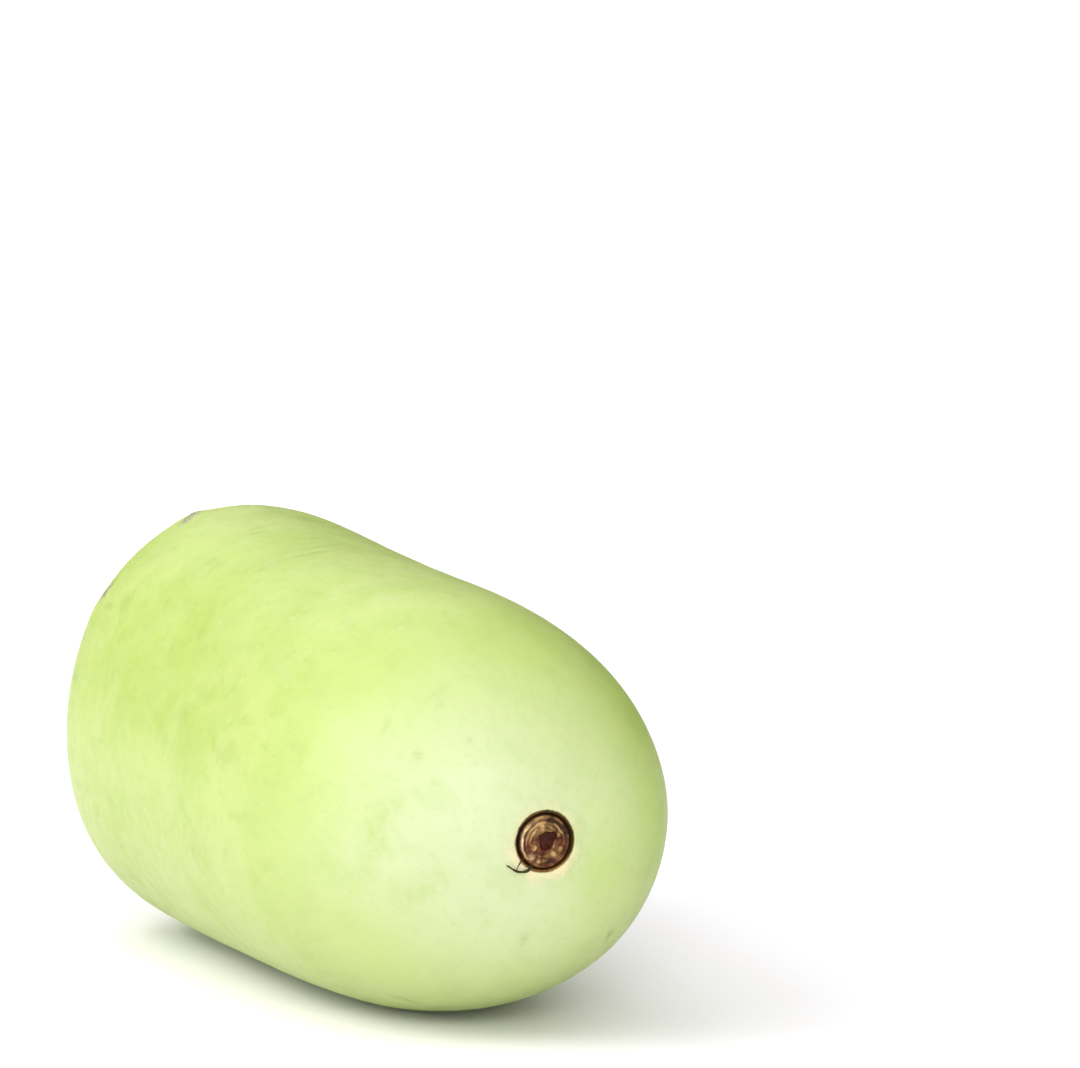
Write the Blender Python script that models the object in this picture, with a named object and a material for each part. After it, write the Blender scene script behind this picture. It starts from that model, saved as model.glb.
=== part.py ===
"""A bottle gourd as picked, lying on its side: blossom end towards +X, cut stalk towards -X.

Metres, +Z up. The origin is at the bottom centre of the whole object's box.
The fruit's own frame has its axis along X, from the stalk pole to the blossom pole, and angles round
it are measured from +Y towards +Z. The fruit then leans so that its blossom end lies a little lower.
"""
import math

import bmesh
import bpy
from mathutils import Vector

# The fruit's driving dimensions
LENGTH = 0.215              # pole to pole, without the stalk
MIDDLE_RADIUS = 0.050       # half the width at mid length
STEM_WIDTH = 1.086          # width towards the stalk, as a share of the middle's
BLOSSOM_WIDTH = 0.9255      # width towards the blossom end, as a share of the middle's
STEM_CAP = 0.062            # length of the rounded end at the stalk
STEM_EASE = 2.8             # how gently that end leaves the middle: 2 is an ellipse, more is gentler
STEM_BLUNTNESS = 2.14       # how blunt its pole is: 2 is an ellipse, more is blunter
BLOSSOM_CAP = 0.0776        # the same for the end with the blossom scar
BLOSSOM_EASE = 2.8
BLOSSOM_BLUNTNESS = 2.52
BOW_SIDEWAYS = 0.0022       # how far both poles stand towards +Y from the middle's axis
BOW_UPWARDS = 0.0015        # how far both poles stand above the middle's axis
LEAN = math.radians(2.39)   # the axis drops this much towards the blossom end

# Swellings of the cross-section: how many round the axis, height as a share of the radius at the
# stalk end and at the blossom end, and the direction of one crest
SWELLINGS = (
    (2, 0.020, 0.0, math.radians(-70)),
    (2, 0.0, 0.021, math.radians(-1)),
    (3, 0.0405, 0.0, math.radians(-12)),
    (3, 0.0, 0.006, math.radians(-47)),
)

# The flat spot that the fruit rests on, and the gap between pieces that touch
REST_DEPTH = 0.0005
GAP = 0.0003

# The seat of the stalk, a flat cut across the stalk pole
SEAT_DEPTH = 0.0018

# The round recess of the blossom scar
RECESS_RADIUS = 0.0064
RECESS_DEPTH = 0.0016
RECESS_FLOOR = 0.94         # the floor's radius as a share of the rim's

# The stalk's stub
STUB_HEIGHT = 0.0130        # seat to cut face, on the axis
STUB_NECK_RADIUS = 0.0094
STUB_CUT_RADIUS = 0.0104
STUB_FOOT_RADIUS = 0.0152   # at the crest of a rib
STUB_FLARE_HEIGHT = 0.0085  # where the ribbed foot has faded into the neck
STUB_FLARE_POWER = 2.1
STUB_RIBS = 5
STUB_RIB_DEPTH = 0.42       # of the foot's flare that is missing between two ribs
STUB_CORNERS = 0.028        # how five-cornered the neck is, as a share of its radius
STUB_FOOT_EDGE = 0.0010     # thickness of the foot's rounded edge
STUB_CUT_TILT = math.radians(4)
STUB_FACET_TILT = math.radians(48)
STUB_FACET_AT = 0.0074      # from the axis to where the side facet leaves the cut face
STUB_FACET_TURN = math.radians(150)

# The blossom scar
SCAR_RADIUS = 0.0058
SCAR_HEIGHT = 0.0015        # above the recess floor
SCAR_RIDGE_PITCH = 0.00135
SCAR_RIDGE_HEIGHT = 0.00015
SCAR_EDGE = 0.0007          # width of the edge that rolls down into the groove
SCAR_EDGE_DROP = 0.0006
PIT_RADIUS = 0.0015
PIT_DEPTH = 0.0007
PIT_OVAL = 0.22
PIT_SLOPE = 0.0007

# The dried strand beside the scar: its middle line in the plane of the scar, from inside the disc
# outwards, with its height above the skin's pole
STRAND = (
    (-0.0022, -0.0040, -0.0004),
    (-0.0027, -0.0049, 0.0005),
    (-0.0034, -0.0058, 0.0009),
    (-0.0048, -0.0062, 0.0008),
    (-0.0062, -0.0060, 0.0006),
    (-0.0074, -0.0053, 0.0005),
    (-0.0087, -0.0045, 0.0007),
)
STRAND_RADIUS = 0.00036
STRAND_TIP = 0.5            # the tip's radius as a share of the strand's

# How finely each piece is divided
FRUIT_AROUND = 52
STEM_CAP_RINGS = 14
MIDDLE_RINGS = 8
BLOSSOM_CAP_RINGS = 17
STUB_AROUND = 40
STUB_RINGS = 14
SCAR_AROUND = 36
SCAR_RINGS = 14
STRAND_SIDES = 6
STRAND_STEPS = 3
SHARP_ANGLE = math.radians(40)


def clear_scene():
    """Removes whatever objects the scene holds."""
    for old in list(bpy.data.objects):
        bpy.data.objects.remove(old, do_unlink=True)


def make_material(name, colour, roughness):
    """A plain non-metal surface of one colour."""
    material = bpy.data.materials.new(name)
    material.use_nodes = True
    material.diffuse_color = (*colour, 1)
    shader = material.node_tree.nodes["Principled BSDF"]
    shader.inputs["Base Color"].default_value = (*colour, 1)
    shader.inputs["Roughness"].default_value = roughness
    shader.inputs["Metallic"].default_value = 0
    return material


def add_ring(mesh, points):
    """One closed ring of vertices."""
    return [mesh.verts.new(point) for point in points]


def join_rings(mesh, first, second):
    """A band of quads between two rings of the same count."""
    count = len(first)
    for i in range(count):
        j = (i + 1) % count
        mesh.faces.new((first[i], first[j], second[j], second[i]))


def loft(mesh, rings):
    """One closed body over a row of rings, with a flat face across each end."""
    made = [add_ring(mesh, points) for points in rings]
    for first, second in zip(made, made[1:]):
        join_rings(mesh, first, second)
    mesh.faces.new(made[0])
    mesh.faces.new(made[-1])
    bmesh.ops.recalc_face_normals(mesh, faces=mesh.faces)


def cut_off(mesh, point, normal):
    """Cuts away what lies beyond a plane, on the side that its normal points to, and closes the cut."""
    everything = mesh.verts[:] + mesh.edges[:] + mesh.faces[:]
    bmesh.ops.bisect_plane(mesh, geom=everything, plane_co=point, plane_no=normal, clear_outer=True)
    rim = [edge for edge in mesh.edges if edge.is_boundary]
    bmesh.ops.contextual_create(mesh, geom=rim)
    bmesh.ops.recalc_face_normals(mesh, faces=mesh.faces)


def make_object(name, mesh, material, parent):
    """Turns a finished bmesh into a smooth-shaded object under its parent."""
    data = bpy.data.meshes.new(name)
    mesh.to_mesh(data)
    mesh.free()
    data.shade_smooth()
    data.set_sharp_from_angle(angle=SHARP_ANGLE)
    data.materials.append(material)
    made = bpy.data.objects.new(name, data)
    made.parent = parent
    bpy.context.collection.objects.link(made)
    return made


def turns(count):
    """Equal steps once round a circle."""
    return [2 * math.pi * i / count for i in range(count)]


def middle_radius(x):
    """The mean radius before the ends are rounded: a parabola through both ends' widths."""
    along = x / LENGTH - 0.5
    difference = BLOSSOM_WIDTH - STEM_WIDTH
    bulge = 2 * (STEM_WIDTH + BLOSSOM_WIDTH) - 4
    return MIDDLE_RADIUS * (1 + difference * along + bulge * along**2)


def mean_radius(x):
    """The mean radius at x from the stalk pole, with both ends rounded."""
    to_stem = max((STEM_CAP - x) / STEM_CAP, 0)
    to_blossom = max((x - LENGTH + BLOSSOM_CAP) / BLOSSOM_CAP, 0)
    stem = (1 - to_stem**STEM_EASE)**(1 / STEM_BLUNTNESS)
    blossom = (1 - to_blossom**BLOSSOM_EASE)**(1 / BLOSSOM_BLUNTNESS)
    return middle_radius(x) * stem * blossom


def swelling(x, angle):
    """The radius in one direction, as a share of the mean radius."""
    share = x / LENGTH
    total = 1
    for count, at_stem, at_blossom, crest in SWELLINGS:
        height = at_stem * (1 - share) + at_blossom * share
        total += height * math.cos(count * (angle - crest))
    return total


def axis_point(x):
    """The middle of the section at x: the axis is slightly bowed."""
    bow = (2 * x / LENGTH - 1)**2
    return Vector((x - LENGTH / 2, BOW_SIDEWAYS * bow, BOW_UPWARDS * bow))


def fruit_ring(x, scale=1.0, sunk=0.0):
    """The section's outline at x, scaled about its middle, and sunk along the axis."""
    centre = axis_point(x) - Vector((sunk, 0, 0))
    ring = []
    for angle in turns(FRUIT_AROUND):
        radius = scale * mean_radius(x) * swelling(x, angle)
        ring.append(centre + Vector((0, radius * math.cos(angle), radius * math.sin(angle))))
    return ring


def recess_rim():
    """How far along the axis the recess starts, where the skin is as wide as its rim."""
    share = RECESS_RADIUS / middle_radius(LENGTH)
    return LENGTH - BLOSSOM_CAP + BLOSSOM_CAP * (1 - share**BLOSSOM_BLUNTNESS)**(1 / BLOSSOM_EASE)


def fruit_stations():
    """Places of the rings along the axis, closer together where the ends round off."""
    places = []
    first = math.acos(1 - SEAT_DEPTH / STEM_CAP)
    for i in range(STEM_CAP_RINGS):
        angle = first + (math.pi / 2 - first) * i / STEM_CAP_RINGS
        places.append(STEM_CAP * (1 - math.cos(angle)))
    straight = LENGTH - STEM_CAP - BLOSSOM_CAP
    for i in range(MIDDLE_RINGS):
        places.append(STEM_CAP + straight * i / MIDDLE_RINGS)
    last = math.asin((recess_rim() - LENGTH + BLOSSOM_CAP) / BLOSSOM_CAP)
    for i in range(BLOSSOM_CAP_RINGS + 1):
        angle = last * i / BLOSSOM_CAP_RINGS
        places.append(LENGTH - BLOSSOM_CAP + BLOSSOM_CAP * math.sin(angle))
    return places


def make_gourd(parent, material):
    """The fruit: a lofted skin, the stalk's seat, the scar's recess and the flat spot it rests on."""
    mesh = bmesh.new()
    rings = [fruit_ring(x) for x in fruit_stations()]
    rings.append(fruit_ring(recess_rim(), RECESS_FLOOR, RECESS_DEPTH))
    loft(mesh, rings)
    down = parent.matrix_basis.to_3x3().inverted() @ Vector((0, 0, -1))
    lowest = max(vertex.co.dot(down) for vertex in mesh.verts)
    cut_off(mesh, down * (lowest - REST_DEPTH), down)
    return make_object("gourd", mesh, material, parent)


def stub_radius(height, angle):
    """The stub's radius: a ribbed foot that fades into a five-cornered neck, wider at the cut."""
    fade = max(1 - height / STUB_FLARE_HEIGHT, 0)**STUB_FLARE_POWER
    rib = 0.5 + 0.5 * math.cos(STUB_RIBS * angle)
    flare = (STUB_FOOT_RADIUS - STUB_NECK_RADIUS) * fade * (1 - STUB_RIB_DEPTH * (1 - rib))
    neck = STUB_NECK_RADIUS * (1 + STUB_CORNERS * math.cos(STUB_RIBS * angle))
    widening = (STUB_CUT_RADIUS - STUB_NECK_RADIUS) * (height / STUB_HEIGHT)**3
    return neck + flare + widening


def stub_rings():
    """The stub's outline from its foot, which has a rounded edge, to beyond the cut."""
    top = STUB_HEIGHT + STUB_CUT_RADIUS * math.tan(STUB_CUT_TILT) + GAP
    heights = [GAP, STUB_FOOT_EDGE / 2 + GAP]
    for i in range(STUB_RINGS):
        share = (i + 1) / STUB_RINGS
        heights.append(STUB_FOOT_EDGE + (top - STUB_FOOT_EDGE) * share**1.3)
    rings = []
    for height in heights:
        tuck = STUB_FOOT_EDGE / 2 if height == GAP else 0
        ring = []
        for angle in turns(STUB_AROUND):
            radius = stub_radius(height, angle) - tuck
            ring.append(Vector((radius * math.cos(angle), radius * math.sin(angle), height)))
        rings.append(ring)
    return rings


def make_stub(parent, material):
    """The cut stalk: the knife left one nearly square face and a second small facet at its side."""
    mesh = bmesh.new()
    loft(mesh, stub_rings())
    top = Vector((0, 0, STUB_HEIGHT))
    cut_off(mesh, top, Vector((0, math.sin(STUB_CUT_TILT), math.cos(STUB_CUT_TILT))))
    sideways = Vector((math.cos(STUB_FACET_TURN), math.sin(STUB_FACET_TURN), 0))
    normal = sideways * math.sin(STUB_FACET_TILT) + Vector((0, 0, math.cos(STUB_FACET_TILT)))
    cut_off(mesh, top + sideways * STUB_FACET_AT, normal)
    stub = make_object("stem_stub", mesh, material, parent)
    stub.location = axis_point(SEAT_DEPTH)
    stub.rotation_euler = (math.pi / 2, 0, -math.pi / 2)
    return stub


def smooth_step(value):
    """Rises smoothly from 0 to 1."""
    value = min(max(value, 0), 1)
    return value * value * (3 - 2 * value)


def scar_height(radius, angle):
    """The scar's surface above the recess floor: rings of ridges, a pit and an edge that rolls down."""
    inwards = SCAR_RADIUS - SCAR_EDGE - radius
    ridges = SCAR_RIDGE_HEIGHT * math.cos(2 * math.pi * inwards / SCAR_RIDGE_PITCH)
    pit_rim = PIT_RADIUS * (1 + PIT_OVAL * math.cos(2 * angle) + PIT_OVAL / 2 * math.cos(3 * angle))
    pit = PIT_DEPTH * (1 - smooth_step((radius - pit_rim) / PIT_SLOPE + 0.5))
    edge = SCAR_EDGE_DROP * max(-inwards / SCAR_EDGE, 0)**2
    return SCAR_HEIGHT + ridges - pit - edge


def scar_ring(radius, flat_at=None):
    """One ring of the scar, on its ridged face or at a fixed height above the recess floor."""
    ring = []
    for angle in turns(SCAR_AROUND):
        height = scar_height(radius, angle) if flat_at is None else flat_at
        ring.append(Vector((radius * math.cos(angle), radius * math.sin(angle), height)))
    return ring


def strand_point(place):
    """A point on a smooth curve through the strand's own points, at a place counted in them."""
    index = min(int(place), len(STRAND) - 2)
    t = place - index
    a, b, c, d = [Vector(STRAND[min(max(index + k, 0), len(STRAND) - 1)]) for k in (-1, 0, 1, 2)]
    return b + 0.5 * t * (c - a + t * (2 * a - 5 * b + 4 * c - d + t * (3 * (b - c) + d - a)))


def make_strand(parent):
    """The dried strand, a thin tapering tube that only serves to be joined to the scar."""
    mesh = bmesh.new()
    count = (len(STRAND) - 1) * STRAND_STEPS
    points = [strand_point(i / STRAND_STEPS) for i in range(count + 1)]
    rings = []
    for i, point in enumerate(points):
        ahead = (points[min(i + 1, count)] - points[max(i - 1, 0)]).normalized()
        side = ahead.cross(Vector((0, 0, 1))).normalized()
        upward = side.cross(ahead)
        radius = STRAND_RADIUS * (1 - (1 - STRAND_TIP) * i / count)
        ring = []
        for angle in turns(STRAND_SIDES):
            ring.append(point + radius * (side * math.cos(angle) + upward * math.sin(angle)))
        rings.append(ring)
    loft(mesh, rings)
    bmesh.ops.translate(mesh, verts=mesh.verts, vec=(0, 0, RECESS_DEPTH))
    strand = make_object("strand_to_join", mesh, parent.data.materials[0], parent)
    strand.hide_render = True
    strand.display_type = "WIRE"
    return strand


def make_scar(parent, material):
    """The dried blossom scar: a ridged disc in its recess, with the strand joined to it."""
    mesh = bmesh.new()
    rings = [scar_ring(SCAR_RADIUS, GAP)]
    rings += [scar_ring(SCAR_RADIUS * (1 - i / SCAR_RINGS)) for i in range(SCAR_RINGS)]
    loft(mesh, rings)
    scar = make_object("blossom_scar", mesh, material, parent)
    scar.location = axis_point(recess_rim()) - Vector((RECESS_DEPTH, 0, 0))
    scar.rotation_euler = (math.pi / 2, 0, math.pi / 2)
    union = scar.modifiers.new("join_strand", "BOOLEAN")
    union.operation = "UNION"
    union.solver = "EXACT"
    union.object = make_strand(scar)
    return scar


def stand_on_origin(parent, pieces):
    """Moves the parent so that the whole object's box stands on the origin."""
    evaluated = bpy.context.evaluated_depsgraph_get()
    evaluated.update()
    corners = []
    for piece in pieces:
        vertices = piece.evaluated_get(evaluated).data.vertices
        corners += [piece.matrix_world @ vertex.co for vertex in vertices]
    lowest = [min(corner[k] for corner in corners) for k in range(3)]
    highest = [max(corner[k] for corner in corners) for k in range(3)]
    parent.location = (-(lowest[0] + highest[0]) / 2, -(lowest[1] + highest[1]) / 2, -lowest[2])


def build():
    """The whole gourd."""
    clear_scene()
    lying = bpy.data.objects.new("lying_gourd", None)
    lying.rotation_euler = (0, LEAN, 0)
    bpy.context.collection.objects.link(lying)
    bpy.context.view_layer.update()
    skin = make_material("gourd_skin", (0.55, 0.72, 0.26), 0.42)
    cork = make_material("scar_cork", (0.20, 0.105, 0.065), 0.45)
    stalk = make_material("stalk", (0.25, 0.38, 0.07), 0.6)
    pieces = [make_gourd(lying, skin), make_stub(lying, stalk), make_scar(lying, cork)]
    stand_on_origin(lying, pieces)


build()
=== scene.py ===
"""The look of a bottle gourd lying on its side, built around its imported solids.

Every shape is worked out in the fruit's own frame, whose axis runs along X from the stalk pole to the
blossom pole, with angles round it from +Y towards +Z, and is then leaned and set down on its solids.
"""
import math

import bpy
import numpy as np
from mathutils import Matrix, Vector, noise


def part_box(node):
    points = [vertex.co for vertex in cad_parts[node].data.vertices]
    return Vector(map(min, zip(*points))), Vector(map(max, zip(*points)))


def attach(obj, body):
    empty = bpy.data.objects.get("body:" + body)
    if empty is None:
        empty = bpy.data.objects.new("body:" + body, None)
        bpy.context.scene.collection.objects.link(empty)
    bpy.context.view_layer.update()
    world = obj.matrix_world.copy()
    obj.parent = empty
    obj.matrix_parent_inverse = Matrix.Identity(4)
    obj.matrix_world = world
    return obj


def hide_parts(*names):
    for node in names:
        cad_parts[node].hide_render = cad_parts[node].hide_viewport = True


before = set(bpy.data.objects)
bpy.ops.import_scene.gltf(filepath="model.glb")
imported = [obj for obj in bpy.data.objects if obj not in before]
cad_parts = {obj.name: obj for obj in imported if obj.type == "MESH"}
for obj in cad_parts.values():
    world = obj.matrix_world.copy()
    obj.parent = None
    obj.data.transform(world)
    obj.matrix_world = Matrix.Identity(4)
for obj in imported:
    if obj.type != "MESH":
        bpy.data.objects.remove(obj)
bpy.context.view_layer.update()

MM = 0.001
BODY = "root"

# The fruit's form, the same values as in its solids
LENGTH = 0.215
MIDDLE_RADIUS = 0.050
STEM_WIDTH = 1.086
BLOSSOM_WIDTH = 0.9255
STEM_CAP = 0.062
STEM_EASE = 2.8
STEM_BLUNTNESS = 2.14
BLOSSOM_CAP = 0.0776
BLOSSOM_EASE = 2.8
BLOSSOM_BLUNTNESS = 2.52
BOW_SIDEWAYS = 0.0022
BOW_UPWARDS = 0.0015
LEAN = math.radians(2.39)
SWELLINGS = (
    (2, 0.020, 0.0, math.radians(-70)),
    (2, 0.0, 0.021, math.radians(-1)),
    (3, 0.0405, 0.0, math.radians(-12)),
    (3, 0.0, 0.006, math.radians(-47)),
)
SEAT_DEPTH = 0.0018
RECESS_RADIUS = 0.0064
RECESS_DEPTH = 0.0016

# How finely the skin is divided
SKIN_AROUND = 320
SKIN_STEP = 0.00105         # between rings, measured along the skin
REST_SOFTNESS = 0.00015     # how softly the skin turns into the flat spot that it rests on

# Uneven growth: size of the lumps and their height
LUMPS = (
    (0.034, 0.00030),
    (0.013, 0.00010),
    (0.005, 0.000025),
)

# Sizes and heights down to PAINTED_LIGHT_SPOTS are in mm
# Broad dents and swellings: share along the fruit, direction, radius and height
DENTS = (
    (0.205, 127, 11, -0.85),
    (0.158, 109, 5.5, 0.6),
    (0.168, 145, 6, 0.45),
    (0.215, 172, 14, 0.55),
    (0.260, 86, 9, -0.5),
    (0.440, 96, 12, -0.5),
    (0.942, 177, 5.5, -0.4),
    (0.905, -168, 6.5, -0.25),
    (0.965, -158, 5.5, -0.2),
    (0.925, 172, 5, 0.15),
    (0.955, -18, 9, -0.3),
    (0.930, -47, 9, 0.25),
    (0.620, -20, 16, -0.5),
    (0.350, 20, 18, 0.4),
    (0.300, -80, 15, -0.4),
)

# Marks in the skin: share along the fruit, direction, half length, half width, turn of the length
# from the axis towards the direction round the fruit, depth, and how dark it is
MARKS = (
    (0.195, 165, 3, 1.8, 20, 0.05, 0.35),
    (0.945, -48, 1.8, 1, 30, 0.35, 0.75),
    (0.979, -96, 1.9, 0.5, 0, 0.06, 0.36),
    (0.849, -114, 3.4, 0.7, 82, 0.12, 0.55),
    (0.950, 143, 0.8, 0.7, 0, 0.05, 0.42),
    (0.968, 124, 0.7, 0.6, 0, 0.03, 0.35),
    (0.913, 140, 2.2, 0.7, 75, 0.02, 0.28),
    (0.922, 119, 2.4, 0.7, 80, 0.02, 0.26),
    (0.933, 122, 1.8, 0.7, 80, 0.02, 0.18),
    (0.487, 102, 5.5, 0.7, 96, 0.22, 0.42),
    (0.461, 97, 4.2, 0.6, 90, 0.18, 0.42),
    (0.414, 93, 3.6, 0.6, 88, 0.15, 0.32),
    (0.333, 102, 3.2, 0.6, 84, 0.15, 0.36),
    (0.353, 105, 2.6, 0.6, 88, 0.12, 0.30),
    (0.338, 126, 1.6, 0.7, 70, 0.02, 0.20),
    (0.398, 123, 2.2, 0.9, 75, 0.02, 0.22),
    (0.461, 117, 2, 0.8, 80, 0.03, 0.22),
    (0.482, 115, 1.8, 0.7, 80, 0.03, 0.26),
    (0.414, 133, 1.2, 0.8, 60, 0.02, 0.22),
    (0.482, 133, 1.2, 0.9, 60, 0.02, 0.20),
    (0.571, 126, 1.4, 0.9, 60, 0.02, 0.18),
    (0.503, 140, 1.6, 1, 60, 0.02, 0.16),
    (0.455, 146, 1.5, 0.8, 70, 0.02, 0.20),
    (0.323, 159, 1.6, 1, 60, 0.02, 0.20),
    (0.403, 159, 1.3, 0.9, 60, 0.02, 0.16),
    (0.520, -60, 4, 0.6, 10, 0.1, 0.32),
    (0.640, 30, 2.6, 0.9, 70, 0.08, 0.35),
    (0.270, 50, 2.2, 0.8, 30, 0.08, 0.30),
    (0.760, -30, 1.8, 1, 50, 0.06, 0.32),
    (0.380, -20, 5, 0.5, 15, 0.1, 0.28),
    (0.700, 75, 2.2, 0.7, 75, 0.06, 0.28),
)

# Dry scabs that stand up from the skin: share along the fruit, direction, half length, half width, turn
# as above, and height
SCABS = (
    (0.181, 140.5, 2.6, 1.6, 105, 0.6),
    (0.186, 110.5, 5.6, 1.7, 38, 0.75),
)

# Bruises, greener than the skin: share along the fruit, direction, radius, strength
BRUISES = (
    (0.952, 164, 2.4, 0.30),
    (0.945, 170, 2.6, 0.40),
    (0.940, 177, 2.8, 0.48),
    (0.943, -178, 2.6, 0.38),
    (0.935, -175, 2.4, 0.25),
    (0.891, -171, 2.6, 0.28),
    (0.898, -167, 2.8, 0.32),
    (0.916, -166, 3, 0.35),
    (0.933, -169, 2.8, 0.28),
    (0.952, -158, 3, 0.30),
    (0.967, -159, 3.2, 0.30),
    (0.979, -161, 2.8, 0.20),
    (0.894, -152, 3.6, 0.20),
    (0.195, 165, 5, 0.35),
    (0.775, -163, 3, 0.25),
    (0.834, 156, 3.4, 0.22),
    (0.430, 99, 11, 0.30),
    (0.560, 10, 8, 0.25),
    (0.330, -40, 7, 0.25),
)

# Wide areas that are greener and darker, partly the skin's own tone and partly painted shade, mostly on the
# upper and right side of the blossom end: share along the fruit, direction, radius, strength
GREENER_AND_SHADED = (
    (0.860, 76, 19, 0.42),
    (0.862, 160, 14, 0.24),
    (0.880, 36, 17, 0.60),
    (0.940, 0, 13, 0.60),
    (0.170, 128, 16, 0.30),
    (0.480, -35, 34, 0.25),
    (0.860, 131, 17, 0.28),
    (0.990, -24, 9, 0.34),
)

# Painted light: wide areas of lighter skin on the underside's left, where the lamps leave it too dark:
# values as above
PAINTED_LIGHT_SPOTS = (
    (0.880, -133, 19, 0.75),
    (0.700, -140, 22, 0.65),
    (0.480, -138, 22, 0.70),
)

# The middle of the paler skin at the blossom end: share along the fruit and direction
PALE_MIDDLE = (0.995, -168)

# The skin is smooth near the scar and furrowed round the stalk
SMOOTH_TO = 0.008
SMOOTH_FADE = 0.012
NARROWEST_DENT = 0.9        # least half width of a mark's dent
FURROW_AT = 0.016           # distances from the stalk
FURROW_WIDTH = 0.009
FURROW_FROM = 0.010
FURROW_RISE = 0.005
FURROW_HEIGHT = 0.00035
RIB_END_WIDTH = 0.0022

# The raised corky lip round the blossom scar
LIP_RADIUS = 0.0074
LIP_WIDTH = 0.0010
LIP_HEIGHT = 0.00022
HALO_ARCS = ((228, 50), (300, 38))  # directions and spreads in which its corky halo is strong

# The groove inside the lip: depth under the rim, and radius as a share of the rim's
RECESS_STEPS = (
    (0.00008, 0.985),
    (0.00030, 0.968),
    (0.0007, 0.960),
    (0.0011, 0.955),
    (0.0014, 0.945),
    (RECESS_DEPTH, 0.92),
    (RECESS_DEPTH, 0.80),
    (RECESS_DEPTH, 0.5),
    (RECESS_DEPTH, 0.2),
)

# The blossom scar. Ridges: radius, half width, height, and the middle and spread of the strongest arc
SCAR_RADIUS = 0.0059
SCAR_AT = (0.00018, -0.00012)
SCAR_LEVEL = 0.0014         # mean height above the recess floor
SCAR_RIDGES = (
    (0.00530, 0.00036, 0.00040, 172, 62),
    (0.00410, 0.00026, 0.00024, 95, 75),
    (0.00325, 0.00030, 0.00028, 125, 80),
    (0.00245, 0.00022, 0.00016, 10, 60),
)
# Knobs on it: place across the scar, radius and height
SCAR_KNOBS = (
    (-0.0031, -0.0031, 0.00080, 0.00035),
    (-0.0014, -0.0042, 0.00055, 0.00020),
    (0.0019, -0.0027, 0.00070, 0.00025),
    (-0.0024, -0.0012, 0.00060, 0.00022),
    (0.0030, 0.0012, 0.00050, 0.00018),
    (-0.0008, 0.0030, 0.00075, 0.00015),
    (0.0036, -0.0016, 0.00055, 0.00020),
)
# Cracks across it: direction, from and to which radius, and half width
SCAR_CRACKS = (
    (222, 0.0010, 0.0048, 0.00016),
    (318, 0.0012, 0.0050, 0.00012),
    (88, 0.0012, 0.0042, 0.00010),
    (262, 0.0016, 0.0054, 0.00012),
    (10, 0.0016, 0.0046, 0.00009),
)
CRACK_DEPTH = 0.00028
SCAR_EDGE = 0.0005          # width of the edge that rolls down into the groove
SCAR_EDGE_DROP = 0.0008
SCAR_LOBES = 0.012          # how far its outline is from round, as a share of the radius
SCAR_TORN = 0.030           # and how ragged
SCAR_WALL = (0.0001, 0.0003)  # heights of the rings under its edge
# Painted highlight on the scar: a pale line along the first ridge on the left and a pale spot on the first
# knob
HIGHLIGHT_RIDGE_WIDTH = 0.00024  # of the pale line along the first ridge
HIGHLIGHT_KNOB_RADIUS = 0.00055  # of the pale spot on the first knob
PIT_AT = (0.00045, 0.00030)
PIT_REACH = (0.00215, 0.00165)
PIT_TURN = math.radians(20)
PIT_DEPTH = 0.0010
SCAR_AROUND = 300
SCAR_RINGS = 120

# Dried strands beside the scar: points across the scar's plane with their height above its rim, then
# the radius at the root
STRANDS = (
    (((-2.6, -4.9, -1.0), (-3.0, -5.35, -0.3), (-3.7, -5.85, 0.35), (-4.8, -6.15, 0.45), (-6.1, -6.05, 0.30),
      (-7.2, -5.5, 0.20), (-8.0, -4.95, 0.28), (-8.8, -4.5, 0.5)), 0.36),
    (((-4.4, -3.0, -0.6), (-4.9, -3.4, 0.1), (-5.6, -4.1, 0.42), (-6.1, -5.0, 0.35),
      (-6.4, -5.8, 0.3)), 0.18),
)
STRAND_SIDES = 10
STRAND_STEPS = 8

# The stalk's stub
STUB_HEIGHT = 0.0130
STUB_NECK_RADIUS = 0.0094
STUB_CUT_RADIUS = 0.0104
STUB_FOOT_RADIUS = 0.0150
STUB_FLARE_HEIGHT = 0.0085
STUB_FLARE_POWER = 2.1
STUB_RIBS = 5
STUB_RIB_DEPTH = 0.62
STUB_CORNERS = 0.028
STUB_CUT_TILT = math.radians(4)
STUB_FACET_TILT = math.radians(48)
STUB_FACET_AT = 0.0074
STUB_FACET_TURN = math.radians(150)
STUB_SUNK = -0.0008         # its foot starts this far under the seat
STUB_AROUND = 240
STUB_WALL_RINGS = 90
STUB_CUT_RINGS = 50
STUB_KNOB = (0.0014, 0.0011, 0.0006)  # at the foot of each rib: height above the seat, half width, size
STUB_LINES = 31             # fine lines up its side
STUB_LINE_HEIGHT = 0.00011
STUB_FURROW_DEPTH = 0.00035
CUT_ROUNDING = 0.00030      # between its side and the cut
BUNDLES = 11                # dots in the ring on the cut face
BUNDLE_RING = 0.68          # of the cut face's radius

# Hairs round the stalk's foot
HAIRS = 2200
TUFTS = 130
HAIR_SEED = 11
HAIR_STEPS = 5
HAIR_SIDES = 3
HAIR_THICKNESS = (0.00004, 0.00007)
TUFT_FROM = 0.0108          # nearest root to the stalk's axis
TUFT_BAND = 0.0085          # width of the band in which the roots stand
TUFT_LENGTH = (0.0026, 0.0058)
TUFT_LIFT = (0.06, 0.36)    # height over the skin as a share of the length

# The camera, as the photograph was taken, and where it puts the middle of the fruit's axis
PHOTO_WIDTH = 1080
PHOTO_HEIGHT = 1068
CAMERA_AZIMUTH = math.radians(66.94)
CAMERA_PITCH = math.radians(4.59)
CAMERA_DISTANCE = 1.0
FOCAL_PIXELS = 4300
MIDDLE_PIXEL = (354.75, 764.96)
SENSOR_WIDTH = 36

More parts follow.
